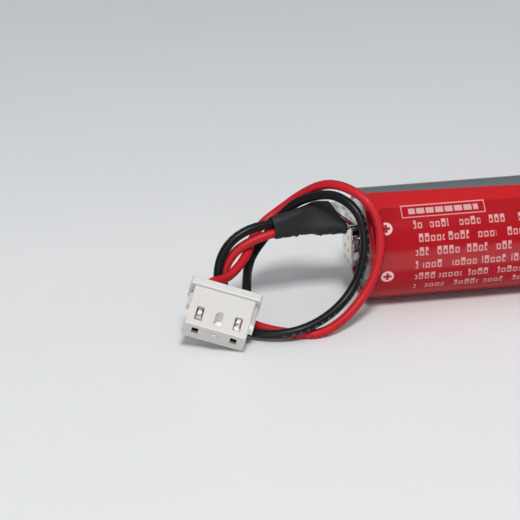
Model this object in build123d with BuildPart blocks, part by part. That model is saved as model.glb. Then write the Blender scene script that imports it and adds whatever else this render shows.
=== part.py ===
"""Cylindrical lithium primary cell, AA size, with heat-shrunk leads and a two-contact plug.

The cell lies along X with its positive end towards -X, on the surface z = 0. Millimetres throughout.
"""

import os
from math import cos, pi, radians, sin, tan

from build123d import *

# ---- Driving dimensions -------------------------------------------------------------------------

# Cell
cell_diameter = 14.5
cell_length = 48.6
face_x = -18.3  # where the positive end of the sleeve lies
sleeve_wall = 0.15
can_wall = 0.3
end_disc_thickness = 0.2
lip_radius = 6.0  # opening that the sleeve leaves at each end
lid_recess = 0.7
lid_thickness = 0.6
seal_radius = 2.6
pin_radius = 0.5
washer_radius = 4.6
washer_thickness = 0.25
cap_radius = 4.8
cap_wall = 0.25
button_radius = 3.0
button_height = 1.5  # above the sleeve's lip

# Inside the can
lithium_thickness = 1.0
separator_wall = 0.25
foil_gap = 1.0  # between the two edges of the rolled lithium foil
collector_radius = 0.9
head_space = 4.0

# Tabs and the strip that runs along the can
tab_thickness = 0.15
tab_tip_z = 4.6
tab_corner = 1.6
tab_bend_z = 9.9
tab_widths = (5.0, 5.0, 4.7, 4.3, 3.5)  # at its planes, below
strip_angle = 80.0  # of the strip's middle, above the horizontal on the -Y side
strip_widths = (4.6, 4.6, 4.5, 4.3, 3.5)  # at its planes, below
strip_leg = 5.738  # from the cell's axis to where the strip leaves the end
ridge_width = 5.0
ridge_height = 0.12

# Heat-shrink tube over the joints
tube_wall = 0.2
tab_offset = 0.35  # of each tab from the tube's middle
slip_widths = (4.3, 3.7)
slip_thickness = 0.1
joint_radius = 0.4
joint_length = 2.0
joint_offset = 0.8
joint_rise = 0.28

# Leads
lead_diameter = 1.2
strand_radius = 0.24
strand_length = 1.8  # inside the plug
arc_share = 0.45  # of the shorter run beside a corner that its arc takes up

# Plug, in its own plane: X across, Y towards the leads, Z out of the windowed face
plug_place = (-37.93, -10.756, 6.69)
plug_yaw, plug_roll, plug_tilt = -17.57, 14.66, 34.1
contact_spacing = 5.0
body_width, body_length, body_depth = 8.0, 5.6, 3.3
body_rounding, mating_rounding = 0.25, 0.12
rim_width, rim_length, rim_step_front, rim_step_back = 9.26, 1.1, 0.45, 0.3
rim_rounding, rim_edge = 0.45, 0.18
ribs = [(-1, 0.4, -0.55, 1.75), (1, 0.55, 0.0, 3.4)]  # side, width, start and length of each
rib_depth, rib_level, rib_bevel = 1.4, -1.75, 0.35
cavity_width, cavity_depth, cavity_front_wall = 1.7, 1.9, 0.3
lead_level = -1.65  # of the leads and contacts below the windowed face
window_width, window_length, window_place = 0.97, 2.0, -3.8
blind_depth, blind_chamfer = 2.3, 0.4
pin_hole_width, pin_hole_depth, pin_hole_level = 0.85, 1.3, -1.4
gate_radius, gate_height, gate_level = 0.42, 0.2, -1.45
contact_width, contact_sheet, contact_box_length = 1.4, 0.2, 3.2
tongue_width, tongue_length, tongue_level = 0.5, 1.35, -0.3
shoulder_width, shoulder_length, shoulder_level = 0.75, 0.4, -0.2
wire_barrel_radius, wire_barrel_length = 0.62, 1.2
grip_wall, grip_length, grip_place = 0.2, 0.75, 0.15
link_width = 0.8
lead_end_place = 0.1
entry_place = 1.9  # where each lead comes onto its hole's axis

# ---- Derived places and planes ------------------------------------------------------------------

cell_radius = cell_diameter / 2
lead_radius = lead_diameter / 2
axis_z = cell_radius
can_radius = cell_radius - sleeve_wall
can_bore = can_radius - can_wall
can_start = sleeve_wall + tab_thickness
can_end = cell_length - sleeve_wall - end_disc_thickness - tab_thickness
lid_face = can_start + lid_recess
lid_back = lid_face + lid_thickness
core_end = can_end - can_wall
rim_leg_x = face_x + sleeve_wall + tab_thickness / 2
tab_x = face_x - button_height - tab_thickness / 2

cell_axis = Axis((face_x, 0, axis_z), (1, 0, 0))
# Half section of the cell: X along the cell from its positive face, Y outward from its axis
half_section = Plane(origin=(face_x, 0, axis_z), x_dir=(1, 0, 0), z_dir=(0, -1, 0))

plug = Plane(origin=plug_place).rotated((plug_yaw, plug_roll, plug_tilt), Intrinsic.ZYX)


def station(distance):
    """Plane square to the cell's axis, at a distance from its positive face; Y is up."""
    return Plane(origin=(face_x + distance, 0, axis_z), x_dir=(0, 1, 0), z_dir=(1, 0, 0))


def shifted(plane, across=0, up=0):
    """A parallel plane, moved within itself."""
    return Plane(origin=plane.from_local_coords((across, up, 0)), x_dir=plane.x_dir, z_dir=plane.z_dir)


def corner_radii(route):
    """Radius of the arc at each corner of a route, as large as its two runs allow."""
    points = [Vector(*point) for point in route]
    radii = []
    for before, corner, after in zip(points, points[1:], points[2:]):
        arriving, leaving = corner - before, after - corner
        half_turn = radians(arriving.get_angle(leaving)) / 2
        radii.append(arc_share * min(arriving.length, leaving.length) / tan(half_turn))
    return radii


# Heat-shrink tube's sections from its flattened mouth to its snug end. Each plane looks along the tube
# towards the leads, with X along the section's long side.
tube_planes = [
    Plane(origin=(-21.5, -0.3, 11.4), x_dir=(0.355, -0.808, -0.472), z_dir=(-0.9, -0.35, -0.1)),
    Plane(origin=(-24.0, -1.0, 11.7), x_dir=(0.26, -0.6, -0.76), z_dir=(-0.96, -0.27, -0.06)),
    Plane(origin=(-26.8, -1.7, 11.7), x_dir=(0.2, -0.35, -0.91), z_dir=(-0.97, -0.24, -0.05)),
    Plane(origin=(-30.3, -2.5, 11.5), x_dir=(0.17, -0.2, -0.965), z_dir=(-0.97, -0.23, -0.09)),
]
tube_sizes = [(5.2, 2.0), (4.6, 2.0), (3.5, 1.95), (3.05, 1.85)]
mouth, joints_plane = tube_planes[0], tube_planes[1]

# Middle line of the positive tab past its weld: up the button, over and into the tube
positive_tab_planes = [
    Plane(origin=(tab_x, 0, tab_bend_z), x_dir=(0, -1, 0), z_dir=(0, 0, 1)),
    Plane(origin=(-20.12, 0, 10.6), x_dir=(0.1, -0.985, -0.1), z_dir=(-0.45, -0.05, 0.89)),
    Plane(origin=(-20.7, -0.05, 11.02), x_dir=(0.25, -0.9, -0.3), z_dir=(-0.9, -0.25, 0.3)),
    shifted(mouth, up=-tab_offset),
    shifted(joints_plane, up=-tab_offset),
]

# Middle line of the strip once it has left the end: over the positive tab and into the tube
strip_planes = [
    Plane(origin=(rim_leg_x, -1.0, 12.9), x_dir=(0, -0.985, -0.174), z_dir=(0, 0.174, -0.985)),
    Plane(origin=(-18.7, -0.95, 12.35), x_dir=(0.05, -0.95, -0.3), z_dir=(-0.8, 0.15, -0.58)),
    Plane(origin=(-19.9, -0.8, 12.05), x_dir=(0.2, -0.9, -0.38), z_dir=(-0.96, -0.1, -0.2)),
    shifted(mouth, up=tab_offset),
    shifted(joints_plane, up=tab_offset),
]

# Each joint starts at its tab's end
black_joint_plane = shifted(joints_plane, across=-joint_offset, up=joint_rise)
red_joint_plane = shifted(joints_plane, across=joint_offset, up=-joint_rise)


def entry(hole_x):
    """The last two points of a lead's route: onto its hole's axis and in."""
    places = (entry_place, lead_end_place)
    return [tuple(plug.from_local_coords((hole_x, place, lead_level))) for place in places]


black_route = [
    (-28.52, -1.89, 12.20),
    (-30.90, -2.47, 12.08),
    (-33.65, -3.02, 11.81),
    (-36.08, -3.54, 10.51),
    (-37.61, -4.23, 8.23),
    (-38.06, -5.56, 5.26),
    (-37.51, -7.47, 2.81),
    (-36.20, -9.46, 1.39),
    (-33.97, -11.36, 0.86),
    (-30.43, -12.64, 1.23),
    (-27.22, -12.47, 1.95),
    (-24.29, -11.33, 3.01),
    (-21.97, -10.05, 4.54),
    (-20.21, -8.95, 6.85),
    (-19.16, -7.73, 10.50),
    (-19.50, -6.31, 13.64),
    (-20.88, -4.63, 15.33),
    (-23.08, -2.45, 15.79),
    (-26.45, 0.10, 13.97),
    (-28.62, 0.78, 11.63),
    (-30.32, 0.42, 9.47),
    (-32.56, -1.04, 7.61),
    (-33.72, -3.45, 6.59),
    (-34.43, -6.52, 6.23),
    *entry(contact_spacing / 2),
]

red_route = [
    (-28.28, -2.25, 11.00),
    (-30.50, -2.68, 10.87),
    (-33.45, -2.87, 9.99),
    (-35.34, -3.05, 8.86),
    (-36.71, -3.57, 7.07),
    (-37.19, -4.59, 4.92),
    (-36.71, -6.09, 2.96),
    (-35.49, -7.71, 1.70),
    (-33.56, -9.41, 1.04),
    (-30.60, -11.13, 0.77),
    (-27.14, -12.09, 0.56),
    (-24.90, -11.77, 0.81),
    (-22.07, -10.46, 2.01),
    (-19.64, -9.15, 4.10),
    (-17.95, -8.36, 6.79),
    (-17.11, -7.70, 10.68),
    (-17.55, -6.84, 14.14),
    (-18.91, -5.62, 16.02),
    (-21.12, -3.42, 16.95),
    (-23.20, -0.94, 16.49),
    (-25.58, 1.32, 14.41),
    (-28.60, 2.17, 11.78),
    (-30.89, 1.44, 10.57),
    (-32.45, -0.45, 9.54),
    (-33.98, -3.36, 7.95),
    (-36.15, -5.42, 6.81),
    (-37.49, -6.38, 6.60),
    *entry(-contact_spacing / 2),
]

# ---- Cell, outside ------------------------------------------------------------------------------


def strip_side(width, outer, inner=0):
    """Sketch, for a station, of the zone over the strip between two distances from the cell's axis."""
    angle = 180 - strip_angle
    start = (inner * cos(radians(angle)), inner * sin(radians(angle)))
    with BuildSketch() as zone:
        with Locations(Location(start, angle)):
            Rectangle(outer - inner, width, align=(Align.MIN, Align.CENTER))
        Circle(outer, mode=Mode.INTERSECT)
    return zone.sketch


with BuildPart() as outer_sleeve:
    with BuildSketch(station(0)):
        Circle(cell_radius)
    extrude(amount=cell_length)
    fillet(outer_sleeve.edges().filter_by(GeomType.CIRCLE), radius=2 * sleeve_wall)
    with BuildSketch(station(can_start)):
        add(strip_side(ridge_width, cell_radius + ridge_height))
    extrude(amount=can_end - can_start)
    with BuildSketch(station(sleeve_wall)):
        Circle(can_radius)
        add(strip_side(strip_widths[0], can_radius + tab_thickness))
    extrude(amount=cell_length - 2 * sleeve_wall, mode=Mode.SUBTRACT)
    with BuildSketch(station(0)):
        Circle(lip_radius)
    extrude(amount=cell_length, mode=Mode.SUBTRACT)
outer_sleeve.part.label = "outer_sleeve"

with BuildPart() as can:
    with BuildSketch(station(can_start)):
        Circle(can_radius)
    extrude(amount=can_end - can_start)
    fillet(can.edges().filter_by(GeomType.CIRCLE), radius=can_wall / 2)
    with BuildSketch(station(can_start)):
        Circle(can_bore)
    extrude(amount=core_end - can_start, mode=Mode.SUBTRACT)
can.part.label = "can"

with BuildPart() as end_disc:
    with BuildSketch(station(can_end + tab_thickness)):
        Circle(can_radius - can_wall)
    extrude(amount=end_disc_thickness)
end_disc.part.label = "end_disc"

with BuildPart() as lid:
    with BuildSketch(station(lid_face)):
        Circle(can_bore)
        Circle(seal_radius, mode=Mode.SUBTRACT)
    extrude(amount=lid_thickness)
lid.part.label = "lid"

with BuildPart() as glass_seal:
    with BuildSketch(station(lid_face)):
        Circle(seal_radius)
        Circle(pin_radius, mode=Mode.SUBTRACT)
    extrude(amount=lid_thickness)
glass_seal.part.label = "glass_seal"

with BuildPart() as insulating_washer:
    with BuildSketch(station(lid_face - washer_thickness)):
        Circle(washer_radius)
        Circle(button_radius, mode=Mode.SUBTRACT)
    extrude(amount=washer_thickness)
insulating_washer.part.label = "insulating_washer"

cap_foot = lid_face - washer_thickness
with BuildPart() as positive_cap:
    with BuildSketch(half_section):
        with BuildLine():
            Polyline(
                (-button_height, 0),
                (-button_height, button_radius),
                (cap_foot - cap_wall, button_radius),
                (cap_foot - cap_wall, cap_radius),
                (cap_foot, cap_radius),
                (cap_foot, button_radius - cap_wall),
                (cap_wall - button_height, button_radius - cap_wall),
                (cap_wall - button_height, 0),
                close=True,
            )
        make_face()
    revolve(axis=cell_axis)
    button_edge = positive_cap.edges().filter_by(GeomType.CIRCLE).sort_by(Axis.X)[0]
    fillet(button_edge, radius=cap_wall / 2)
positive_cap.part.label = "positive_cap"

# ---- Cell, inside -------------------------------------------------------------------------------

jelly_start = lid_back + head_space
jelly_length = core_end - separator_wall - jelly_start
separator_radius = can_bore - lithium_thickness

with BuildPart() as lithium_anode:
    with BuildSketch(station(jelly_start)):
        Circle(can_bore)
        Circle(separator_radius, mode=Mode.SUBTRACT)
        with Locations((0, can_bore)):
            Rectangle(foil_gap, can_bore, mode=Mode.SUBTRACT)
    extrude(amount=jelly_length)
lithium_anode.part.label = "lithium_anode"

with BuildPart() as separator_tube:
    with BuildSketch(station(jelly_start)):
        Circle(separator_radius)
        Circle(separator_radius - separator_wall, mode=Mode.SUBTRACT)
    extrude(amount=jelly_length)
separator_tube.part.label = "separator_tube"

with BuildPart() as separator_base:
    with BuildSketch(station(core_end - separator_wall)):
        Circle(can_bore)
    extrude(amount=separator_wall)
separator_base.part.label = "separator_base"

with BuildPart() as separator_cover:
    with BuildSketch(station(jelly_start - separator_wall)):
        Circle(can_bore)
        Circle(collector_radius, mode=Mode.SUBTRACT)
    extrude(amount=separator_wall)
separator_cover.part.label = "separator_cover"

with BuildPart() as carbon_cathode:
    with BuildSketch(station(jelly_start)):
        Circle(separator_radius - separator_wall)
        Circle(collector_radius, mode=Mode.SUBTRACT)
    extrude(amount=jelly_length)
carbon_cathode.part.label = "carbon_cathode"

collector_start = jelly_start - 2 * separator_wall
with BuildPart() as current_collector:
    with BuildSketch(station(collector_start)):
        Circle(collector_radius)
    extrude(amount=jelly_length)
current_collector.part.label = "current_collector"

pin_start = cap_wall - button_height
with BuildPart() as terminal_pin:
    with BuildSketch(station(pin_start)):
        Circle(pin_radius)
    extrude(amount=collector_start - pin_start)
terminal_pin.part.label = "terminal_pin"

# ---- Tabs, joints and their tube ----------------------------------------------------------------


def band(planes, widths, thickness):
    """A thin band lofted through planes that each cut it square."""
    sections = []
    for plane, width in zip(planes, widths):
        with BuildSketch(plane) as section:
            Rectangle(width, thickness)
        sections.append(section.sketch)
    loft(sections)


def ribbon(planes, widths):
    """A nickel tab that curves through its planes to the tube's mouth and runs straight on from there."""
    band(planes[:-1], widths[:-1], tab_thickness)
    band(planes[-2:], widths[-2:], tab_thickness)


def rod(plane, length, outer, inner=None):
    """A round bar or ring that stands on a plane."""
    with BuildSketch(plane) as end:
        Circle(outer)
        if inner:
            Circle(inner, mode=Mode.SUBTRACT)
    extrude(end.sketch, amount=length)


with BuildPart() as positive_tab:
    with BuildSketch(station(-button_height - tab_thickness)) as weld_end:
        with Locations((0, tab_tip_z - axis_z)):
            Rectangle(tab_widths[0], tab_bend_z - tab_tip_z, align=(Align.CENTER, Align.MIN))
        fillet(weld_end.vertices().group_by(Axis.Y)[0], radius=tab_corner)
    extrude(amount=tab_thickness)
    ribbon(positive_tab_planes, tab_widths)
positive_tab.part.label = "positive_tab"

strip_outer = can_radius + tab_thickness
with BuildPart() as negative_strip:
    with BuildSketch(station(sleeve_wall)):
        add(strip_side(strip_widths[0], strip_outer))
        Circle(can_radius, mode=Mode.SUBTRACT)
    extrude(amount=can_end + tab_thickness - sleeve_wall)
    with BuildSketch(station(sleeve_wall)):
        add(strip_side(strip_widths[0], strip_outer, inner=strip_leg))
    extrude(amount=tab_thickness)
    with BuildSketch(station(can_end)):
        add(strip_side(strip_widths[0], strip_outer))
    extrude(amount=tab_thickness)
    ribbon(strip_planes, strip_widths)
negative_strip.part.label = "negative_strip"

with BuildPart() as insulating_slip:
    band((mouth, joints_plane), slip_widths, slip_thickness)
insulating_slip.part.label = "insulating_slip"

with BuildPart() as heat_shrink_tube:
    for plane, (width, height) in zip(tube_planes, tube_sizes):
        with BuildSketch(plane):
            SlotOverall(width, height)
    loft()
    for plane, (width, height) in zip(tube_planes, tube_sizes):
        with BuildSketch(plane):
            SlotOverall(width - 2 * tube_wall, height - 2 * tube_wall)
    loft(mode=Mode.SUBTRACT)
heat_shrink_tube.part.label = "heat_shrink_tube"

with BuildPart() as red_joint:
    rod(red_joint_plane, joint_length, joint_radius)
red_joint.part.label = "red_joint"

with BuildPart() as black_joint:
    rod(black_joint_plane, joint_length, joint_radius)
black_joint.part.label = "black_joint"

# ---- Leads --------------------------------------------------------------------------------------

with BuildPart() as red_lead:
    with BuildLine() as red_path:
        FilletPolyline(*red_route, radius=corner_radii(red_route))
    with BuildSketch(red_path.line ^ 0):
        Circle(lead_radius)
    sweep()
red_lead.part.label = "red_lead"

with BuildPart() as black_lead:
    with BuildLine() as black_path:
        FilletPolyline(*black_route, radius=corner_radii(black_route))
    with BuildSketch(black_path.line ^ 0):
        Circle(lead_radius)
    sweep()
black_lead.part.label = "black_lead"


def conductor_ends(joint_plane, route, hole_x):
    """The stripped strands at both ends of a lead, from its joint and into its contact."""
    joint_end = Vector(*joint_plane.from_local_coords((0, 0, joint_length)))
    lead_start = Vector(*route[0])
    gap = lead_start - joint_end
    rod(Plane(origin=joint_end, z_dir=gap), gap.length, strand_radius)
    lead_end = plug.from_local_coords((hole_x, lead_end_place, lead_level))
    rod(Plane(origin=lead_end, z_dir=-plug.y_dir), strand_length, strand_radius)


with BuildPart() as red_conductor_ends:
    conductor_ends(red_joint_plane, red_route, -contact_spacing / 2)
red_conductor_ends.part.label = "red_conductor_ends"

with BuildPart() as black_conductor_ends:
    conductor_ends(black_joint_plane, black_route, contact_spacing / 2)
black_conductor_ends.part.label = "black_conductor_ends"

# ---- Plug ---------------------------------------------------------------------------------------

contact_places = (-contact_spacing / 2, contact_spacing / 2)
along_plug = Axis(plug.origin, plug.y_dir)
middle_level = -body_depth / 2
rim_depth = body_depth + rim_step_front + rim_step_back
rim_level = rim_step_front - rim_depth / 2
cavity_length = body_length + rim_length - cavity_front_wall

with BuildPart(plug) as plug_housing:
    with Locations((0, 0, middle_level)):
        Box(body_width, body_length, body_depth, align=(Align.CENTER, Align.MAX, Align.CENTER))
    fillet(plug_housing.edges().filter_by(along_plug), radius=body_rounding)
    fillet(plug_housing.faces().sort_by(along_plug)[0].edges(), radius=mating_rounding)
    with Locations((0, 0, rim_level)):
        rim = Box(rim_width, rim_length, rim_depth, align=(Align.CENTER, Align.MIN, Align.CENTER))
    fillet(rim.edges().filter_by(along_plug), radius=rim_rounding)
    rim_faces = plug_housing.faces().filter_by(along_plug).sort_by(along_plug)[-2:]
    fillet([edge for face in rim_faces for edge in face.outer_wire().edges()], radius=rim_edge)
    for side, width, start, length in ribs:
        rib_start = plug.from_local_coords((side * (body_width + width) / 2, start, rib_level))
        with BuildSketch(Plane(origin=rib_start, x_dir=plug.x_dir, z_dir=-plug.y_dir)) as rib:
            Rectangle(width, rib_depth)
            chamfer(rib.vertices().sort_by(Axis((0, 0, 0), (side, 1, 0)))[-1], length=rib_bevel)
        extrude(amount=length)
    for place in contact_places:
        with Locations((place, rim_length, lead_level)):
            Box(
                cavity_width,
                cavity_length,
                cavity_depth,
                align=(Align.CENTER, Align.MAX, Align.CENTER),
                mode=Mode.SUBTRACT,
            )
        with Locations((place, window_place, 0)):
            Box(window_width, window_length, 2 * -lead_level, mode=Mode.SUBTRACT)
        with Locations((place, -body_length, pin_hole_level)):
            Box(pin_hole_width, 2 * cavity_front_wall, pin_hole_depth, mode=Mode.SUBTRACT)
    with BuildSketch(shifted(plug, up=window_place)) as blind_window:
        Rectangle(window_width, window_length)
        chamfer(blind_window.vertices().sort_by(Axis((0, 0, 0), (-1, 1, 0)))[-1], length=blind_chamfer)
    extrude(amount=-blind_depth, mode=Mode.SUBTRACT)
    gate = plug.from_local_coords((0, -body_length, gate_level))
    with BuildSketch(Plane(origin=gate, z_dir=-plug.y_dir)):
        Circle(gate_radius)
    extrude(amount=gate_height)
plug_housing.part.label = "plug_housing"

box_front = cavity_front_wall - body_length
box_back = box_front + contact_box_length
box_top = lead_level + contact_width / 2
bore_width = contact_width - 2 * contact_sheet
tongue_back = window_place + window_length / 2 - 0.1
grip_radius = lead_radius + grip_wall


def plug_section(place, station_y):
    """Plane square to a lead's hole, looking back along it."""
    origin = plug.from_local_coords((place, station_y, lead_level))
    return Plane(origin=origin, x_dir=plug.x_dir, z_dir=plug.y_dir)


def contact(place):
    """A crimp contact: box, latching tongue in the window, wire barrel and insulation grip."""
    with Locations((place, box_front, lead_level)):
        Box(contact_width, contact_box_length, contact_width, align=(Align.CENTER, Align.MIN, Align.CENTER))
        Box(
            bore_width,
            contact_box_length,
            bore_width,
            align=(Align.CENTER, Align.MIN, Align.CENTER),
            mode=Mode.SUBTRACT,
        )
    with Locations((place, tongue_back, box_top)):
        Box(tongue_width, tongue_length, tongue_level - box_top, align=(Align.CENTER, Align.MAX, Align.MIN))
    with Locations((place, tongue_back - tongue_length, box_top)):
        Box(
            shoulder_width,
            shoulder_length,
            shoulder_level - box_top,
            align=(Align.CENTER, Align.MAX, Align.MIN),
        )
    with Locations((place, box_back - contact_sheet, lead_level - grip_radius)):
        Box(
            link_width,
            grip_place + grip_length - box_back + contact_sheet,
            contact_sheet,
            align=(Align.CENTER, Align.MIN, Align.MIN),
        )
    rod(plug_section(place, box_back), wire_barrel_length, wire_barrel_radius, inner=strand_radius)
    rod(plug_section(place, grip_place), grip_length, grip_radius, inner=lead_radius)


with BuildPart(plug) as left_contact:
    contact(contact_places[0])
left_contact.part.label = "left_contact"

with BuildPart(plug) as right_contact:
    contact(contact_places[1])
right_contact.part.label = "right_contact"

# ---- Files --------------------------------------------------------------------------------------

nodes = (
    outer_sleeve,
    can,
    end_disc,
    lid,
    glass_seal,
    insulating_washer,
    positive_cap,
    lithium_anode,
    separator_tube,
    separator_base,
    separator_cover,
    carbon_cathode,
    current_collector,
    terminal_pin,
    positive_tab,
    negative_strip,
    insulating_slip,
    heat_shrink_tube,
    red_joint,
    black_joint,
    red_lead,
    black_lead,
    red_conductor_ends,
    black_conductor_ends,
    plug_housing,
    left_contact,
    right_contact,
)
os.makedirs("parts", exist_ok=True)
for node in nodes:
    export_step(node.part, f"parts/{node.part.label}.step")

lead_section = pi * lead_radius**2
for lead, path, route in ((red_lead, red_path, red_route), (black_lead, black_path, black_route)):
    length = sum(edge.length for edge in path.edges())
    radii = ", ".join(f"{radius:.1f}" for radius in corner_radii(route))
    print(f"{lead.part.label}: length {length:.1f}, radii {radii}")
    print(f"  volume {lead.part.volume:.2f}, section times length {lead_section * length:.2f}")
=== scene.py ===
"""Looks for the cylindrical cell with its leads and plug. Metres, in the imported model's frame."""

from math import cos, pi, radians, sin, tanh

import bmesh
import bpy
from mathutils import Matrix, Vector, noise


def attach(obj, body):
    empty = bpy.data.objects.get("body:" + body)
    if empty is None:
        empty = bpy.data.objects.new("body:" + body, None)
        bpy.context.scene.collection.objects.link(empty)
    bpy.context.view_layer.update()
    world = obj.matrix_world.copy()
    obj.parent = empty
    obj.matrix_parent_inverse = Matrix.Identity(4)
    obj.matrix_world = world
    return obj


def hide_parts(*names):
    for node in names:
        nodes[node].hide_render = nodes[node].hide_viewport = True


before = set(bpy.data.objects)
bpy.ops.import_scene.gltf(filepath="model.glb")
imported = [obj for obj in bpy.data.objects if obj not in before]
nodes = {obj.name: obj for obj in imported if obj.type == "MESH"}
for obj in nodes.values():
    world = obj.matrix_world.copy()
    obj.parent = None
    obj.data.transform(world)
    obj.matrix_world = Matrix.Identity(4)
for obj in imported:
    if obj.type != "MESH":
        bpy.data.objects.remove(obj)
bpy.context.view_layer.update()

MM = 0.001
CELL_RADIUS = 7.25 * MM
CELL_LENGTH = 48.6 * MM
FACE_X = -18.3 * MM

# ---- Camera -------------------------------------------------------------------------------------

CAMERA_PLACE = (-0.11142, -0.40151, 0.18833)
CAMERA_RIGHT = (0.98072, -0.19543, 0.0)
CAMERA_BACK = (-0.17853, -0.89594, 0.40674)
SENSOR_WIDTH = 36.0
FOCAL_LENGTH = 240.35
NEAR_LIMIT = 0.01

camera = bpy.data.objects.new("camera", bpy.data.cameras.new("camera"))
bpy.context.collection.objects.link(camera)
right = Vector(CAMERA_RIGHT)
back = Vector(CAMERA_BACK).normalized()
up = back.cross(right).normalized()
turn = Matrix((right, up, back)).transposed().to_4x4()
camera.matrix_world = Matrix.Translation(CAMERA_PLACE) @ turn
camera.data.sensor_width = SENSOR_WIDTH
camera.data.lens = FOCAL_LENGTH
camera.data.clip_start = NEAR_LIMIT
bpy.context.scene.camera = camera
bpy.context.scene.view_settings.view_transform = "Standard"

# ---- Leads --------------------------------------------------------------------------------------

BLACK_ROUTE = [
    (-28.52, -1.89, 12.2),
    (-30.9, -2.47, 12.08),
    (-33.65, -3.02, 11.81),
    (-36.08, -3.54, 10.51),
    (-37.61, -4.23, 8.23),
    (-38.06, -5.56, 5.26),
    (-37.51, -7.47, 2.81),
    (-36.2, -9.46, 1.39),
    (-33.97, -11.36, 0.86),
    (-30.43, -12.64, 1.23),
    (-27.22, -12.47, 1.95),
    (-24.29, -11.33, 3.01),
    (-21.97, -10.05, 4.54),
    (-20.21, -8.95, 6.85),
    (-19.16, -7.73, 10.5),
    (-19.5, -6.31, 13.64),
    (-20.88, -4.63, 15.33),
    (-23.08, -2.45, 15.79),
    (-26.45, 0.1, 13.97),
    (-28.62, 0.78, 11.63),
    (-30.32, 0.42, 9.47),
    (-32.56, -1.04, 7.61),
    (-33.72, -3.45, 6.59),
    (-34.43, -6.52, 6.23),
    (-34.94, -9.08, 5.77),
    (-35.64, -10.43, 4.79),
]

RED_ROUTE = [
    (-28.28, -2.25, 11.0),
    (-30.5, -2.68, 10.87),
    (-33.45, -2.87, 9.99),
    (-35.34, -3.05, 8.86),
    (-36.71, -3.57, 7.07),
    (-37.19, -4.59, 4.92),
    (-36.71, -6.09, 2.96),
    (-35.49, -7.71, 1.7),
    (-33.56, -9.41, 1.04),
    (-30.6, -11.13, 0.77),
    (-27.14, -12.09, 0.56),
    (-24.9, -11.77, 0.81),
    (-22.07, -10.46, 2.01),
    (-19.64, -9.15, 4.1),
    (-17.95, -8.36, 6.79),
    (-17.11, -7.7, 10.68),
    (-17.55, -6.84, 14.14),
    (-18.91, -5.62, 16.02),
    (-21.12, -3.42, 16.95),
    (-23.2, -0.94, 16.49),
    (-25.58, 1.32, 14.41),
    (-28.6, 2.17, 11.78),
    (-30.89, 1.44, 10.57),
    (-32.45, -0.45, 9.54),
    (-33.98, -3.36, 7.95),
    (-36.15, -5.42, 6.81),
    (-37.49, -6.38, 6.6),
    (-39.55, -7.62, 7.03),
    (-40.25, -8.96, 6.06),
]

LEAD_DIAMETER = 1.2 * MM
STEPS_PER_POINT = 12
ROUNDNESS = 8


def lead(name, route):
    """A round lead whose corners are curves inside the corners of its route."""
    data = bpy.data.curves.new(name, "CURVE")
    data.dimensions = "3D"
    spline = data.splines.new("NURBS")
    spline.points.add(len(route) - 1)
    for point, place in zip(spline.points, route):
        point.co = (place[0] * MM, place[1] * MM, place[2] * MM, 1.0)
        point.radius = LEAD_DIAMETER / 2
    spline.order_u = 3
    spline.use_endpoint_u = True
    spline.resolution_u = STEPS_PER_POINT
    data.bevel_depth = 1.0  # times each point's radius, which Blender also counts in the curve's box
    data.bevel_resolution = ROUNDNESS
    data.use_fill_caps = True
    piece = bpy.data.objects.new(name, data)
    bpy.context.collection.objects.link(piece)
    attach(piece, "root")
    return piece


red_lead = lead("red_lead_skin", RED_ROUTE)
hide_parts("red_lead")
black_lead = lead("black_lead_skin", BLACK_ROUTE)
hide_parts("black_lead")

# ---- Shader helpers -----------------------------------------------------------------------------


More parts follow.
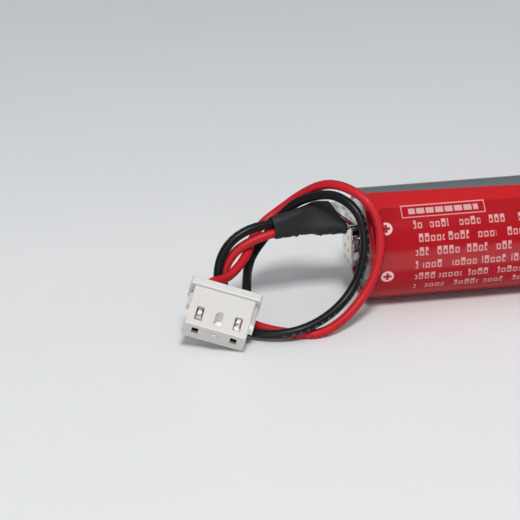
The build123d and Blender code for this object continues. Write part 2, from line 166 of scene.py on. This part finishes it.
class Shader:
    """A node material under construction, with arithmetic as short calls."""

    def __init__(self, name):
        self.material = bpy.data.materials.new(name)
        self.material.use_nodes = True
        self.tree = self.material.node_tree
        self.bsdf = self.tree.nodes["Principled BSDF"]
        inputs = self.tree.nodes.new("ShaderNodeTexCoord").outputs
        self.coordinates = inputs["Object"]
        self.unwrapped = inputs["UV"]

    def set(self, **values):
        """Constants on the surface's sockets."""
        for key, value in values.items():
            self.bsdf.inputs[key.replace("_", " ")].default_value = value

    def to(self, **links):
        """Links into the surface's sockets."""
        for key, value in links.items():
            self.tree.links.new(value, self.bsdf.inputs[key.replace("_", " ")])

    def fill(self, socket, value):
        """A link or a constant, whichever the value is."""
        if isinstance(value, bpy.types.NodeSocket):
            self.tree.links.new(value, socket)
        else:
            socket.default_value = value

    def node(self, kind, inputs=(), **settings):
        made = self.tree.nodes.new(kind)
        for key, value in settings.items():
            setattr(made, key, value)
        for key, value in dict(inputs).items():
            self.fill(made.inputs[key], value)
        return made

    def math(self, operation, *values):
        return self.node("ShaderNodeMath", enumerate(values), operation=operation).outputs[0]

    def noise(self, scale, detail=2.0, roughness=0.5, vector=None):
        vector = vector or self.coordinates
        inputs = {"Vector": vector, "Scale": scale, "Detail": detail, "Roughness": roughness}
        return self.node("ShaderNodeTexNoise", inputs).outputs["Fac"]

    def random(self, **seeds):
        """One fixed random number for each set of whole numbers X, Y and Z."""
        seed = self.node("ShaderNodeCombineXYZ", seeds).outputs[0]
        return self.node("ShaderNodeTexWhiteNoise", {"Vector": seed}).outputs["Value"]

    def stretched(self, x, y, z):
        inputs = {"Vector": self.coordinates, "Scale": (x, y, z)}
        return self.node("ShaderNodeMapping", inputs).outputs["Vector"]

    def split(self, vector):
        return self.node("ShaderNodeSeparateXYZ", {"Vector": vector}).outputs

    def reach(self, origin, direction):
        """How far along a direction a place lies from the origin."""
        inputs = {0: self.coordinates, 1: origin}
        offset = self.node("ShaderNodeVectorMath", inputs, operation="SUBTRACT").outputs[0]
        inputs = {0: offset, 1: direction}
        return self.node("ShaderNodeVectorMath", inputs, operation="DOT_PRODUCT").outputs["Value"]

    def spread(self, value, low, high, to_low=0.0, to_high=1.0):
        """The value carried over from one range to another, and held at its ends."""
        inputs = {"Value": value, "From Min": low, "From Max": high, "To Min": to_low, "To Max": to_high}
        return self.node("ShaderNodeMapRange", inputs).outputs[0]

    def mix(self, factor, first, second):
        made = self.node("ShaderNodeMix", data_type="RGBA")
        self.fill(made.inputs[0], factor)
        self.fill(made.inputs[6], first)
        self.fill(made.inputs[7], second)
        return made.outputs[2]

    def both(self, first, second):
        return self.math("MULTIPLY", first, second)

    def either(self, first, second):
        return self.math("MAXIMUM", first, second)

    def outside(self, mask):
        return self.math("SUBTRACT", 1.0, mask)

    def below(self, value, limit, soft=0.03):
        return self.spread(value, limit - soft, limit + soft, 1.0, 0.0)

    def span(self, value, low, high, soft=0.03):
        return self.both(self.below(value, high, soft), self.outside(self.below(value, low, soft)))

    def bump(self, height, distance, strength=1.0):
        inputs = {"Height": height, "Distance": distance, "Strength": strength}
        self.to(Normal=self.node("ShaderNodeBump", inputs).outputs["Normal"])


def colour(red, green, blue):
    return (red, green, blue, 1.0)


def dress(names, material):
    """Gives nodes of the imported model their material."""
    for name in names:
        materials = nodes[name].data.materials
        materials.clear()
        materials.append(material)


def mesh_piece(name, vertices, faces, material, replaced):
    data = bpy.data.meshes.new(name)
    data.from_pydata(vertices, [], faces)
    work = bmesh.new()
    work.from_mesh(data)
    bmesh.ops.recalc_face_normals(work, faces=work.faces)
    work.to_mesh(data)
    work.free()
    data.shade_smooth()
    data.materials.append(material)
    piece = bpy.data.objects.new(name, data)
    bpy.context.collection.objects.link(piece)
    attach(piece, "root")
    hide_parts(*replaced)


def ring_faces(rings, around):
    """Faces of a closed skin, whose points go around ring after ring and back to the first ring."""
    faces = []
    for ring in range(rings):
        for k in range(around):
            after, following = (ring + 1) % rings, (k + 1) % around
            faces.append((
                ring * around + k,
                ring * around + following,
                after * around + following,
                after * around + k,
            ))
    return faces


# ---- Sleeve material: printed film --------------------------------------------------------------

# Lengths in mm from the positive end, angles in degrees around the cell, 0 facing -Y and 90 on top
ARC_PER_DEGREE = CELL_RADIUS / MM * pi / 180

DISC_COUNT = 7
DISC_ANGLE = 37.0
DISC_ALONG = 2.15
DISC_RADIUS = 0.84
DISCS_TOP = 78.0
PLUS_REACH = 0.53
PLUS_HALF_WIDTH = 0.17

ROW_COUNT = 6
ROW_STEP = 14.0
ROWS_TOP = 45.5
ROWS_ALONG = (5.8, 42.5)
GROUP_STEP = 3.9
GROUP_SHIFT = 1.7
GROUP_ENDS = (0.6, 0.94)
GROUP_START = 0.04
BLOCK_STEP = 0.78
BLOCK_SEED = 7.0
BLOCK_ACROSS = (0.12, 0.82)
TALL_BLOCK = (0.16, 0.76)
SHORT_BLOCK = (0.33, 0.76)
SHORT_SHARE = 0.55
HOLLOW_ACROSS = (0.29, 0.65)
HOLLOW_HIGH = (0.42, 0.67)

FRAME_ALONG = (4.45, 15.5)
FRAME_ANGLES = (46.7, 61.0)
FRAME_LINE = 0.12
FRAME_LINE_ANGLE = 1.0
BAR_ALONG = (5.4, 14.6)
BAR_ANGLES = (50.6, 57.1)
BAR_STEP = 1.25
BAR_GAP = 0.16

BAND_START = 85.2
BAND_SLOPE = -0.33
BAND_END = 128.0
# Painted light: above these angles the red is painted lighter, standing in for the light that falls on the
# top of the cell.
LIT_TOP_ANGLES = (59.0, 61.5)
GLOSS_ANGLES = (-8.0, 15.5)

LOWER_REDS = colour(0.315, 0.005, 0.010), colour(0.37, 0.009, 0.014)
PAINTED_LIT_RED = colour(0.48, 0.012, 0.017)
BAND_GREY = colour(0.125, 0.138, 0.152)
INK = colour(0.80, 0.60, 0.60)


def polarity_discs(s, along, angle):
    """A ring of discs near the positive end, each with a plus left open in it."""
    step = 360 / DISC_COUNT
    turned = s.math("ADD", angle, 360.0 + step / 2 - DISC_ANGLE)
    arc = s.math("SUBTRACT", s.math("MODULO", turned, step), step / 2)
    across = s.math("ABSOLUTE", s.math("MULTIPLY", arc, ARC_PER_DEGREE))
    beside = s.math("ABSOLUTE", s.math("SUBTRACT", along, DISC_ALONG))
    radius = s.math("SQRT", s.math("ADD", s.math("POWER", across, 2.0), s.math("POWER", beside, 2.0)))
    plus = s.either(
        s.both(s.below(across, PLUS_HALF_WIDTH), s.below(beside, PLUS_REACH)),
        s.both(s.below(beside, PLUS_HALF_WIDTH), s.below(across, PLUS_REACH)),
    )
    return s.both(s.both(s.below(radius, DISC_RADIUS), s.outside(plus)), s.below(angle, DISCS_TOP))


def block_rows(s, along, angle):
    """Rows of plain blocks in groups, in place of the printed words."""
    row_value = s.math("DIVIDE", s.math("SUBTRACT", ROWS_TOP, angle), ROW_STEP)
    row = s.math("FLOOR", row_value)
    in_row = s.math("FRACT", row_value)
    rows = s.both(s.span(in_row, *TALL_BLOCK, 0.02), s.span(row, -0.5, ROW_COUNT - 0.5))

    group_shift = s.math("MULTIPLY", row, GROUP_SHIFT)
    group_value = s.math("DIVIDE", s.math("ADD", along, group_shift), GROUP_STEP)
    group_random = s.random(X=s.math("FLOOR", group_value), Y=row)
    group_end = s.spread(group_random, 0.0, 1.0, *GROUP_ENDS)
    in_group = s.math("FRACT", group_value)
    groups = s.both(s.math("LESS_THAN", in_group, group_end), s.math("GREATER_THAN", in_group, GROUP_START))

    block_value = s.math("DIVIDE", along, BLOCK_STEP)
    block_random = s.random(X=s.math("FLOOR", block_value), Y=row, Z=BLOCK_SEED)
    in_block = s.math("FRACT", block_value)
    tall = s.math("GREATER_THAN", block_random, SHORT_SHARE)
    height = s.either(s.span(in_row, *SHORT_BLOCK, 0.02), tall)
    blocks = s.both(s.span(in_block, *BLOCK_ACROSS, 0.06), height)
    hollow = s.both(s.span(in_block, *HOLLOW_ACROSS, 0.06), s.span(in_row, *HOLLOW_HIGH, 0.02))
    text = s.both(s.both(rows, groups), s.both(blocks, s.outside(hollow)))
    return s.both(text, s.span(along, *ROWS_ALONG, 0.05))


def framed_bar(s, along, angle):
    """A plain frame above the rows, with one broken bar in it."""
    left, far = FRAME_ALONG
    foot, top = FRAME_ANGLES
    outer = s.both(s.span(along, left, far), s.span(angle, foot, top, 0.25))
    inner = s.both(
        s.span(along, left + FRAME_LINE, far - FRAME_LINE),
        s.span(angle, foot + FRAME_LINE_ANGLE, top - FRAME_LINE_ANGLE, 0.25),
    )
    bar = s.both(s.span(along, *BAR_ALONG), s.span(angle, *BAR_ANGLES, 0.3))
    dashes = s.math("GREATER_THAN", s.math("FRACT", s.math("DIVIDE", along, BAR_STEP)), BAR_GAP)
    return s.either(s.both(outer, s.outside(inner)), s.both(bar, dashes))


def sleeve_material():
    """Red film with a dark band along its top and pale print; the red near the top is painted lighter, as
    painted light.
    """
    s = Shader("printed_film")
    s.set(IOR=1.48)
    x, y, z = s.split(s.coordinates)
    along = s.math("MULTIPLY", s.math("SUBTRACT", x, FACE_X), 1 / MM)
    high = s.math("SUBTRACT", z, CELL_RADIUS)
    toward = s.math("MULTIPLY", y, -1.0)
    angle = s.math("DEGREES", s.math("ARCTAN2", high, toward))

    discs = polarity_discs(s, along, angle)
    print_mask = s.either(discs, s.either(block_rows(s, along, angle), framed_bar(s, along, angle)))
    ink = s.math("MULTIPLY", print_mask, s.spread(discs, 0.0, 1.0, 0.5, 0.8))

    band_edge = s.math("ADD", s.math("MULTIPLY", along, BAND_SLOPE), BAND_START)
    past_edge = s.outside(s.below(s.math("SUBTRACT", angle, band_edge), 0.0, 0.35))
    band = s.both(past_edge, s.below(angle, BAND_END, 0.35))

    streaks = s.noise(260, 3.0, 0.6, s.stretched(0.15, 1.0, 1.0))
    # Painted light: a lighter red is painted above about 60 degrees.
    red = s.mix(s.spread(angle, *LIT_TOP_ANGLES), s.mix(streaks, *LOWER_REDS), PAINTED_LIT_RED)
    film = s.mix(band, red, BAND_GREY)
    s.to(Base_Color=s.mix(ink, film, INK))

    gloss = s.both(s.span(angle, *GLOSS_ANGLES, 2.5), s.spread(s.noise(60, 2.0), 0.3, 0.6, 0.6, 1.0))
    s.to(Specular_IOR_Level=s.spread(gloss, 0.0, 1.0, 0.12, 0.7))
    s.to(Roughness=s.spread(s.noise(90, 3.0), 0.3, 0.7, 0.16, 0.25))
    swell = s.noise(70, 2.0, 0.5, s.stretched(0.5, 1.0, 1.0))
    s.bump(s.math("ADD", swell, s.math("MULTIPLY", streaks, 0.15)), 0.12 * MM, 0.35)
    return s.material


# ---- Sleeve: film over the can, folded in at both ends ------------------------------------------

STRIP_ANGLE = 80.0
STRIP_EDGE = (18.2, 20.4)
STRIP_RISE = 0.105
CREASE_ANGLE = 19.0
CREASE_REACH = 1.6
CREASE_RISE = 0.035

# Distance from the end and radius in mm, from inside the lip out to the film's plain tube
END_PROFILE = [
    (0.15, 6.30),
    (0.15, 6.02),
    (0.10, 5.99),
    (0.03, 6.02),
    (0.0, 6.12),
    (0.0, 6.45),
    (0.0, 6.75),
    (0.03, 6.95),
    (0.09, 7.09),
    (0.18, 7.19),
    (0.30, 7.245),
    (0.45, 7.25),
]
INNER_PROFILE = [(0.30, 7.1), (0.22, 6.9), (0.17, 6.6)]
LIP_RADIUS = 6.5
SHOULDER_RADIUS = 7.0
TUBE_RADIUS = 7.2
LENGTHWAYS = 60
AROUND_FILM = 360


def smooth_step(value, low, high):
    t = min(1.0, max(0.0, (value - low) / (high - low)))
    return t * t * (3 - 2 * t)


def degrees_apart(angle, other):
    return abs(((angle - other) + 180) % 360 - 180)


def ridge(angle):
    """Height in mm of the film over the strip."""
    return STRIP_RISE * (1 - smooth_step(degrees_apart(angle, STRIP_ANGLE), *STRIP_EDGE))


def crease(angle):
    """Height in mm of the fold of the lay-flat film."""
    return CREASE_RISE * max(0.0, 1 - degrees_apart(angle, CREASE_ANGLE) / CREASE_REACH)


def film_lift(x, radius, angle, length):
    """How far in mm the film stands off its plain profile."""
    from_end = min(x, length - x)
    if radius < LIP_RADIUS:
        seed = 4.0 if x > length / 2 else 3.0
        wave = noise.noise(Vector((-cos(radians(angle)) * 5, sin(radians(angle)) * 5, seed)))
        return max(0.10 * wave + 0.04 * sin(radians(angle * 23)), 0.0)
    lift = 0.0
    if radius > SHOULDER_RADIUS:
        lift += ridge(angle) * smooth_step(from_end, 0.1, 0.7)
    if radius > TUBE_RADIUS:
        lift += crease(angle) * smooth_step(from_end, 0.3, 1.0)
    return lift


def sleeve():
    length = CELL_LENGTH / MM
    fold, tube = END_PROFILE[-1]
    step = (length - 2 * fold) / LENGTHWAYS
    middle = [(fold + step * k, tube) for k in range(1, LENGTHWAYS)]
    far_profile = [(length - x, radius) for x, radius in reversed(END_PROFILE)]
    far_inner = [(length - x, radius) for x, radius in reversed(INNER_PROFILE)]
    profile = END_PROFILE + middle + far_profile + far_inner + INNER_PROFILE
    vertices = []
    for k in range(AROUND_FILM):
        angle = k * 360 / AROUND_FILM
        for x, radius in profile:
            reach = (radius + film_lift(x, radius, angle, length)) * MM
            vertices.append((
                FACE_X + x * MM,
                -reach * cos(radians(angle)),
                CELL_RADIUS + reach * sin(radians(angle)),
            ))
    faces = ring_faces(AROUND_FILM, len(profile))
    mesh_piece("sleeve_film", vertices, faces, sleeve_material(), ["outer_sleeve"])


sleeve()

# ---- Metals -------------------------------------------------------------------------------------


def metal_shader(name, roughness, scratch):
    """A metal with fine scratches and clouds, still to be coloured."""
    s = Shader(name)
    s.set(Metallic=1.0)
    fine = s.noise(scratch, 3.0, 0.65, s.stretched(1.0, 1.0, 0.12))
    s.cloud = s.noise(600, 3.0, 0.6)
    s.to(Roughness=s.spread(s.math("ADD", fine, s.cloud), 0.6, 1.4, roughness * 0.6, roughness * 1.5))
    s.bump(s.math("ADD", fine, s.math("MULTIPLY", s.cloud, 0.6)), 0.03 * MM, 0.5)
    return s


def metal_material(name, base, roughness, scratch):
    """An even metal, clouded slightly darker and warmer."""
    s = metal_shader(name, roughness, scratch)
    darker = colour(base[0] * 0.86, base[1] * 0.84, base[2] * 0.8)
    s.to(Base_Color=s.mix(s.cloud, darker, colour(*base)))
    return s.material


# A place on the plug's windowed face, the direction from its mating end to its leads, and the face's own
PLUG_PLACE = (-0.03793, -0.010756, 0.00669)
PLUG_ALONG = (0.38524, 0.7466, 0.54239)
PLUG_UP = (0.03055, -0.59775, 0.8011)
# Painted shade: past these reaches along the plug the box's inside is painted near black.
CAVITY_SHADE_ALONG = (-5.22 * MM, -5.02 * MM)
BOX_LEVEL = (-1.1 * MM, -1.0 * MM)
TONGUE_LEVEL = (-0.93 * MM, -0.86 * MM)


def contact_material():
    """Patchy tin on the latching tongue, bronze on the box below it, and painted shade, near black, further
    inside the box.
    """
    s = metal_shader("tinned_bronze", 0.3, 3200)
    level = s.reach(PLUG_PLACE, PLUG_UP)
    along = s.reach(PLUG_PLACE, PLUG_ALONG)
    # Painted shade: the bronze inside the box turns near black further along, where shade falls.
    inside = s.mix(s.spread(along, *CAVITY_SHADE_ALONG), colour(0.60, 0.19, 0.03), colour(0.012, 0.006, 0.004))
    box = s.mix(s.spread(level, *BOX_LEVEL), inside, colour(0.30, 0.17, 0.06))
    tongue = s.spread(level, *TONGUE_LEVEL)
    patches = s.spread(s.noise(1700, 2.0), 0.4, 0.6)
    tin = s.mix(patches, colour(0.22, 0.21, 0.20), colour(0.90, 0.90, 0.89))
    s.to(Base_Color=s.mix(tongue, box, tin), Metallic=s.spread(tongue, 0.0, 1.0, 0.2, 0.45))
    return s.material


def strip_material():
    """Nickel ribbon with streaks from rolling."""
    s = metal_shader("rolled_nickel", 0.12, 2200)
    streaks = s.spread(s.noise(900, 2.0, 0.6, s.stretched(1.0, 0.5, 0.15)), 0.42, 0.56)
    s.to(Base_Color=s.mix(streaks, colour(0.55, 0.52, 0.51), colour(1.0, 0.99, 0.98)))
    return s.material


# Middles across and up of the spots that hold the tab to the button, in mm
WELD_SPOTS = ((-1.0, 8.6), (0.9, 8.5), (-0.95, 6.9), (0.95, 6.8), (-0.9, 5.4), (0.85, 5.3))
SPOT_EDGE = (0.16 * MM, 0.34 * MM)


def welded_tab_material():
    """Nickel tab with the pits of its spot welds."""
    s = metal_shader("welded_nickel_tab", 0.3, 2400)
    _, across, up = s.split(s.coordinates)
    pits = 0.0
    for y, z in WELD_SPOTS:
        dy = s.math("SUBTRACT", across, y * MM)
        dz = s.math("SUBTRACT", up, z * MM)
        reach = s.math("SQRT", s.math("ADD", s.math("MULTIPLY", dy, dy), s.math("MULTIPLY", dz, dz)))
        pits = s.either(pits, s.spread(reach, *SPOT_EDGE, 1.0, 0.0))
    s.to(Base_Color=s.mix(pits, colour(0.78, 0.74, 0.67), colour(0.30, 0.24, 0.17)))
    s.bump(s.math("SUBTRACT", s.noise(700, 2.0), s.math("MULTIPLY", pits, 3.0)), 0.06 * MM, 0.8)
    return s.material


steel = metal_material("nickel_plated_steel", (0.40, 0.39, 0.41), 0.10, 2600)
solder = metal_material("solder", (0.66, 0.67, 0.69), 0.28, 1500)
strands = metal_material("tinned_strands", (0.72, 0.60, 0.47), 0.3, 5200)
foil = metal_material("lithium_foil", (0.62, 0.62, 0.64), 0.45, 900)
dress(["can", "lid", "positive_cap"], steel)
dress(["left_contact", "right_contact"], contact_material())
dress(["negative_strip", "current_collector", "terminal_pin"], strip_material())
dress(["positive_tab"], welded_tab_material())
dress(["red_joint", "black_joint"], solder)
dress(["red_conductor_ends", "black_conductor_ends"], strands)
dress(["lithium_anode"], foil)

# ---- Plastics, board, felt, carbon, glass -------------------------------------------------------


def plain_shader(name, roughness, grain, depth):
    """A clouded surface with a fine grain, still to be coloured."""
    s = Shader(name)
    s.cloud = s.noise(grain, 4.0, 0.6)
    s.to(Roughness=s.spread(s.cloud, 0.3, 0.7, roughness * 0.85, roughness * 1.15))
    s.bump(s.noise(grain * 6, 3.0, 0.6), depth, 0.5)
    return s


def plain_material(name, low, high, roughness, grain, depth):
    s = plain_shader(name, roughness, grain, depth)
    s.to(Base_Color=s.mix(s.cloud, colour(*low), colour(*high)))
    return s.material


# The blind middle window, whose inside is painted paler as painted light: how far it is below the windowed
# face, and where it is along the plug
SUNK_LEVEL = -0.08 * MM
SUNK_ALONG = -3.8 * MM
SUNK_HALF_LENGTH = 1.05 * MM


def nylon_material():
    """Unfilled nylon, painted paler inside the blind middle window as painted light against the shade of its
    walls.
    """
    s = plain_shader("natural_nylon", 0.36, 420, 0.02 * MM)
    s.set(Subsurface_Weight=0.35, Subsurface_Scale=0.6 * MM, IOR=1.53)
    beside = s.math("ABSOLUTE", s.math("SUBTRACT", s.reach(PLUG_PLACE, PLUG_ALONG), SUNK_ALONG))
    low_enough = s.math("LESS_THAN", s.reach(PLUG_PLACE, PLUG_UP), SUNK_LEVEL)
    # Painted light: a paler colour inside the window lifts the shade that its walls cast.
    painted_fill_mask = s.both(low_enough, s.math("LESS_THAN", beside, SUNK_HALF_LENGTH))
    body = s.mix(s.cloud, colour(0.57, 0.56, 0.54), colour(0.60, 0.59, 0.57))
    s.to(Base_Color=s.mix(painted_fill_mask, body, colour(0.92, 0.90, 0.87)))
    return s.material


board = plain_material("fibre_board", (0.70, 0.69, 0.63), (0.80, 0.79, 0.74), 0.7, 900, 0.05 * MM)
felt = plain_material("glass_fibre_felt", (0.78, 0.78, 0.76), (0.88, 0.88, 0.87), 0.9, 1600, 0.1 * MM)
carbon = plain_material("porous_carbon", (0.012, 0.012, 0.013), (0.035, 0.035, 0.037), 0.85, 1500, 0.12 * MM)
slip = plain_material("polyimide_film", (0.45, 0.26, 0.05), (0.52, 0.31, 0.07), 0.3, 500, 0.02 * MM)
glass = plain_material("seal_glass", (0.16, 0.22, 0.20), (0.2, 0.28, 0.26), 0.15, 500, 0.02 * MM)
dress(["plug_housing"], nylon_material())
dress(["end_disc", "insulating_washer"], board)
dress(["separator_tube", "separator_base", "separator_cover"], felt)
dress(["carbon_cathode"], carbon)
dress(["insulating_slip"], slip)
dress(["glass_seal"], glass)

# ---- Insulation of the leads --------------------------------------------------------------------

# Steps in mm along the lead, the rest as parts of a step or of the way around the lead
STROKE_STEP = 0.95
STROKE_START = 0.12
STROKE_ENDS = (0.35, 0.62)
STROKES_STEP = 13.0
STROKES_END = 0.62
STROKE_SIDE = 0.25
STROKE_HALF_HEIGHT = 0.075
STROKE_STRENGTH = 0.55


def insulation_material(name, low, high, roughness, stroke_colour, length):
    """Extruded insulation with a row of small plain strokes along it in place of print."""
    s = Shader(name)
    s.set(Specular_IOR_Level=0.22)
    lengthways, around, _ = s.split(s.unwrapped)
    along = s.math("MULTIPLY", lengthways, length)
    stroke_value = s.math("DIVIDE", along, STROKE_STEP)
    in_stroke = s.math("FRACT", stroke_value)
    stroke_end = s.spread(s.random(X=s.math("FLOOR", stroke_value)), 0.0, 1.0, *STROKE_ENDS)
    stroke = s.both(
        s.math("LESS_THAN", in_stroke, stroke_end),
        s.math("GREATER_THAN", in_stroke, STROKE_START),
    )
    group = s.math("LESS_THAN", s.math("FRACT", s.math("DIVIDE", along, STROKES_STEP)), STROKES_END)
    beside = s.math("ABSOLUTE", s.math("SUBTRACT", around, STROKE_SIDE))
    row = s.math("LESS_THAN", beside, STROKE_HALF_HEIGHT)
    strokes = s.both(s.both(stroke, group), s.math("MULTIPLY", row, STROKE_STRENGTH))
    ground = s.mix(s.noise(500, 3.0), colour(*low), colour(*high))
    s.to(Base_Color=s.mix(strokes, ground, colour(*stroke_colour)))
    s.to(Roughness=s.spread(s.noise(1400, 3.0, 0.7), 0.3, 0.7, roughness * 0.75, roughness * 1.25))
    grain = s.math("ADD", s.noise(1900, 3.0, 0.6), s.math("MULTIPLY", s.noise(500, 1.0), 1.2))
    s.bump(grain, 0.04 * MM, 0.45)
    return s.material


red_lead.data.materials.append(insulation_material(
    "red_insulation", (0.44, 0.009, 0.016), (0.49, 0.013, 0.020), 0.45, (0.03, 0.004, 0.006), 81.2,
))
black_lead.data.materials.append(insulation_material(
    "black_insulation", (0.003, 0.003, 0.004), (0.006, 0.007, 0.008), 0.36, (0.10, 0.11, 0.12), 76.5,
))

# ---- Heat-shrink tube ---------------------------------------------------------------------------

# Each section of the tube: middle, long side's direction, direction along the tube, width and height
TUBE_SECTIONS = [
    ((-21.5, -0.3, 11.4), (0.355, -0.808, -0.472), (-0.9, -0.35, -0.1), 5.2, 2.0),
    ((-24.0, -1.0, 11.7), (0.26, -0.6, -0.76), (-0.96, -0.27, -0.06), 4.6, 2.0),
    ((-26.8, -1.7, 11.7), (0.2, -0.35, -0.91), (-0.97, -0.24, -0.05), 3.5, 1.95),
    ((-30.3, -2.5, 11.5), (0.17, -0.2, -0.965), (-0.97, -0.23, -0.09), 3.05, 1.85),
]
TUBE_WALL = 0.2
TUBE_STEPS = 90
AROUND_TUBE = 96
CRUMPLE = 0.26
DENT = 0.09


def shrink_material():
    """Matte black polyolefin with soft folds."""
    s = Shader("shrink_polyolefin")
    s.set(Specular_IOR_Level=0.3)
    s.to(Base_Color=s.mix(s.noise(400, 4.0), colour(0.009, 0.010, 0.012), colour(0.017, 0.020, 0.022)))
    s.to(Roughness=s.spread(s.noise(900, 3.0), 0.3, 0.7, 0.42, 0.58))
    folds = s.noise(300, 2.0, 0.5, s.stretched(1.0, 0.55, 0.55))
    s.bump(s.math("ADD", folds, s.math("MULTIPLY", s.noise(3000, 2.0), 0.08)), 0.22 * MM, 0.6)
    return s.material


def through(values, place):
    """A smooth curve through evenly numbered values, read at a place between them."""
    index = min(int(place), len(values) - 2)
    t = place - index
    first, last = values[index], values[index + 1]
    before = values[index - 1] if index else first * 2 - last
    after = values[index + 2] if index + 2 < len(values) else last * 2 - first
    bend = (before * 2 - first * 5 + last * 4 - after) * t + (first * 3 - last * 3 + after - before) * t * t
    return first + (last - before + bend) * (t / 2)


def wrinkle(place, turn_angle):
    """How far in mm the tube's wall is crumpled outwards, most along its lower edge."""
    edge = cos(turn_angle)
    coarse = noise.noise(Vector((place * 3.6, 1.7, 0.0)))
    fine = noise.noise(Vector((place * 8.5, 5.1, 0.0)))
    dent = noise.noise(Vector((place * 1.3, edge * 1.5, sin(turn_angle) * 1.5)))
    return CRUMPLE * (coarse + 0.6 * fine) * max(0.0, edge) ** 5 + DENT * min(0.0, dent - 0.1)


def shrink_tube():
    middles, sides, ways = [[Vector(section[k]) for section in TUBE_SECTIONS] for k in range(3)]
    widths, heights = [[section[k] for section in TUBE_SECTIONS] for k in (3, 4)]
    last_place = len(TUBE_SECTIONS) - 1
    rings = [(step / TUBE_STEPS * last_place, 0.0) for step in range(TUBE_STEPS + 1)]
    rings += [(place, TUBE_WALL) for place, _ in reversed(rings)]
    vertices = []
    for place, inward in rings:
        way = through(ways, place).normalized()
        side = through(sides, place)
        side = (side - way * side.dot(way)).normalized()
        rise = way.cross(side)
        height = through(heights, place) / 2 - inward
        flat = (through(widths, place) - through(heights, place)) / 2
        for k in range(AROUND_TUBE):
            turn_angle = 2 * pi * k / AROUND_TUBE
            swell = wrinkle(place, turn_angle)
            across = flat * tanh(4 * cos(turn_angle)) + (height + swell) * cos(turn_angle)
            upward = (height + swell) * sin(turn_angle)
            vertices.append((through(middles, place) + side * across + rise * upward) * MM)
    faces = ring_faces(len(rings), AROUND_TUBE)
    mesh_piece("shrink_skin", vertices, faces, shrink_material(), ["heat_shrink_tube"])


shrink_tube()

# ---- Floor and light ----------------------------------------------------------------------------

FLOOR_REACH = 6
FLOOR_SHADE_DEPTHS = (0.02, 0.12)
WORLD_STRENGTH = 0.55
WORLD_COLOURS = ((0.0, colour(0.10, 0.105, 0.12)), (0.95, colour(0.95, 0.98, 1.0)))


def paper_material():
    """Pale paper with painted shade, falling off in brightness behind the cell."""
    s = plain_shader("pale_paper", 0.42, 30, 0.02 * MM)
    _, depth, _ = s.split(s.coordinates)
    # Painted shade: the paper is painted darker behind the cell, standing in for the light's falloff.
    far = s.spread(depth, *FLOOR_SHADE_DEPTHS)
    s.to(Base_Color=s.mix(far, colour(0.77, 0.785, 0.795), colour(0.63, 0.66, 0.68)))
    return s.material


corners = [(x * FLOOR_REACH, y * FLOOR_REACH, 0) for x, y in ((-1, -1), (1, -1), (1, 1), (-1, 1))]
floor_data = bpy.data.meshes.new("floor")
floor_data.from_pydata(corners, [], [(0, 1, 2, 3)])
floor_data.materials.append(paper_material())
floor = bpy.data.objects.new("floor", floor_data)
bpy.context.collection.objects.link(floor)

world = bpy.data.worlds.new("studio")
bpy.context.scene.world = world
world.use_nodes = True
tree = world.node_tree
background = tree.nodes["Background"]
direction = tree.nodes.new("ShaderNodeTexCoord")
split = tree.nodes.new("ShaderNodeSeparateXYZ")
ramp = tree.nodes.new("ShaderNodeValToRGB")
tree.links.new(direction.outputs["Generated"], split.inputs[0])
tree.links.new(split.outputs[2], ramp.inputs[0])
tree.links.new(ramp.outputs[0], background.inputs[0])
for element, (position, tint) in zip(ramp.color_ramp.elements, WORLD_COLOURS):
    element.position = position
    element.color = tint
background.inputs[1].default_value = WORLD_STRENGTH


def softbox(name, place, target, size, power, tint):
    data = bpy.data.lights.new(name, "AREA")
    data.shape = "RECTANGLE"
    data.size, data.size_y = size
    data.energy = power
    data.color = tint
    lamp = bpy.data.objects.new(name, data)
    bpy.context.collection.objects.link(lamp)
    lamp.location = place
    aim = Vector(target) - Vector(place)
    lamp.rotation_euler = aim.to_track_quat("-Z", "Y").to_euler()


softbox("key", (-0.06, -0.46, 0.66), (-0.01, 0.0, 0.0), (0.17, 0.17), 4.65, (1.0, 0.985, 0.975))
softbox("low_fill", (-0.45, -0.75, 0.16), (0.0, 0.0, 0.0), (0.5, 0.25), 1.7, (0.97, 0.98, 1.0))

# ---- End ----------------------------------------------------------------------------------------

bpy.context.view_layer.update()
